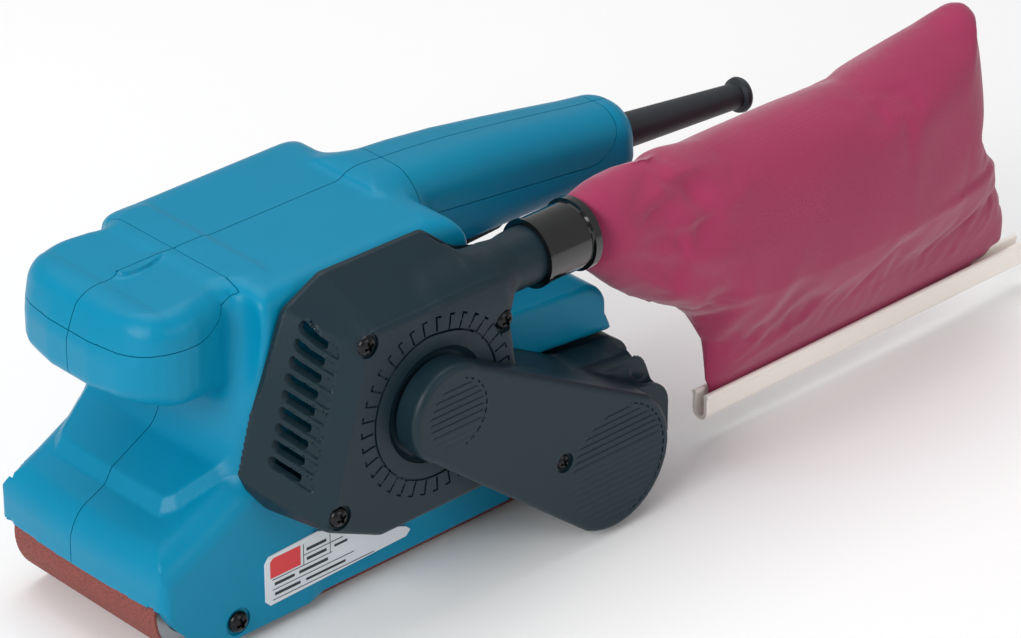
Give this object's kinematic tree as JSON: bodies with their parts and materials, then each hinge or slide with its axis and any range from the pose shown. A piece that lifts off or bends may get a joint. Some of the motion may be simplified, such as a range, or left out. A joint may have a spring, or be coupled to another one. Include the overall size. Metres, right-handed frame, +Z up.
{
  "type": "handheld belt sander",
  "caption": "Handheld belt sander with a knob and a rear grip, a transverse motor, a toothed belt drive and a side dust bag on an outlet pipe.",
  "frame": {"origin": "centre of the sole on the sanding belt's underside, midway between the two rollers and on the belt's middle", "axes": "+X to the rear handle along the belt, +Y to the belt-change side, +Z up from the work"},
  "size_m": [0.4195, 0.128, 0.1349],
  "materials": {
    "shell_blue": "fine textured moulded plastic",
    "cover_black": "fine textured moulded plastic",
    "plate_white": "printed film",
    "cast_aluminium": "die cast",
    "steel": "ground",
    "pad_rubber": "graphite cloth",
    "abrasive": "aluminium oxide grit on cloth",
    "lamination": "stacked sheet",
    "copper": "enamelled wire and bare bars",
    "fan_plastic": "moulded",
    "brass": "stamped brass",
    "carbon": "pressed carbon",
    "drive_rubber": "moulded rubber",
    "screw_black": "black oxide",
    "control_black": "moulded plastic",
    "circuit": "potted circuit",
    "guard_rubber": "moulded rubber",
    "sleeve_gloss": "glossy moulded ring",
    "bag_cloth": "woven cloth",
    "clip_cream": "extruded plastic"
  },
  "bodies": {
    "body": {"housing_left": "shell_blue", "housing_right": "shell_blue", "grip_cap_left": "shell_blue", "grip_cap_right": "shell_blue", "handle_panel_left": "shell_blue", "handle_panel_right": "shell_blue", "rear_cover": "cover_black", "motor_cover": "cover_black", "drive_case": "cover_black", "drive_cover": "cover_black", "rating_plate": "plate_white", "frame": "cast_aluminium", "platen_plate": "steel", "platen_pad": "pad_rubber", "sanding_belt": "abrasive", "stator_core": "lamination", "field_coils": "copper", "motor_bearings": "steel", "brush_holders": "brass", "carbon_brushes": "carbon", "brush_springs": "steel", "toothed_belt": "drive_rubber", "rear_bearings": "steel", "switch_body": "control_black", "speed_controller": "circuit", "cord_guard": "guard_rubber", "cover_screws": "screw_black", "drive_screw": "screw_black", "tension_spring": "steel"},
    "drive_roller": {"rear_roller": "cast_aluminium", "rear_tyre": "drive_rubber", "drive_shaft": "steel", "driven_pulley": "cast_aluminium", "pulley_nut": "steel"},
    "armature": {"armature_shaft": "steel", "armature_core": "lamination", "armature_windings": "copper", "commutator": "copper", "cooling_fan": "fan_plastic", "motor_pulley": "steel"},
    "yoke": {"tension_yoke": "steel", "front_axle": "steel"},
    "idler": {"front_roller": "cast_aluminium", "front_bearings": "steel"},
    "lever": {"tension_lever": "steel"},
    "tracking": {"tracking_screw": "screw_black"},
    "trigger": {"trigger": "control_black"},
    "lock": {"lock_button": "control_black"},
    "dial": {"speed_dial": "control_black"},
    "bag": {"dust_bag": "bag_cloth", "nozzle_sleeve": "sleeve_gloss"},
    "clip": {"bag_clip": "clip_cream"}
  },
  "joints": [
    {"name": "drive_roller_spin", "type": "hinge", "parent": "body", "child": "drive_roller", "pos_m": [0.07688, 0, 0.0265], "axis": [0, 1, 0], "continuous": true},
    {"name": "motor_spin", "type": "hinge", "parent": "body", "child": "armature", "pos_m": [0.0012, 0, 0.0788], "axis": [0, 1, 0], "continuous": true},
    {"name": "yoke_slide", "type": "slide", "parent": "body", "child": "yoke", "axis": [1, 0, 0], "range_m": [0, 0.007], "deforming": ["tension_spring"]},
    {"name": "idler_spin", "type": "hinge", "parent": "yoke", "child": "idler", "pos_m": [-0.07688, 0, 0.022], "axis": [0, 1, 0], "continuous": true},
    {"name": "lever_swing", "type": "hinge", "parent": "body", "child": "lever", "pos_m": [-0.008, 0, 0.022], "axis": [0, -1, 0], "range_deg": [0, 45]},
    {"name": "tracking_turn", "type": "hinge", "parent": "body", "child": "tracking", "pos_m": [-0.068, 0, 0.0105], "axis": [0, 1, 0], "range_deg": [-180, 180]},
    {"name": "trigger_pull", "type": "hinge", "parent": "body", "child": "trigger", "pos_m": [0.061, 0, 0.098], "axis": [0, -1, 0], "range_deg": [0, 6], "stiffness_Nm_per_rad": 0.6, "springref_deg": -8.59},
    {"name": "lock_press", "type": "slide", "parent": "body", "child": "lock", "axis": [0, -1, 0], "range_m": [0, 0.003], "stiffness_N_per_m": 400, "springref_m": -0.001},
    {"name": "speed_turn", "type": "hinge", "parent": "body", "child": "dial", "pos_m": [0.024, 0, 0.108], "axis": [0, 1, 0], "range_deg": [-140, 140]},
    {"name": "bag_pull", "type": "slide", "parent": "body", "child": "bag", "axis": [1, 0, 0], "range_m": [0, 0.12]},
    {"name": "clip_slide", "type": "slide", "parent": "bag", "child": "clip", "axis": [1, 0, 0], "range_m": [0, 0.178]}
  ],
  "couplings": [
    {"joint": "motor_spin", "follows": "drive_roller_spin", "ratio": 3},
    {"joint": "idler_spin", "follows": "drive_roller_spin", "ratio": 1.2143},
    {"joint": "lever_swing", "follows": "yoke_slide", "rad_per_m": 112.2}
  ]
}
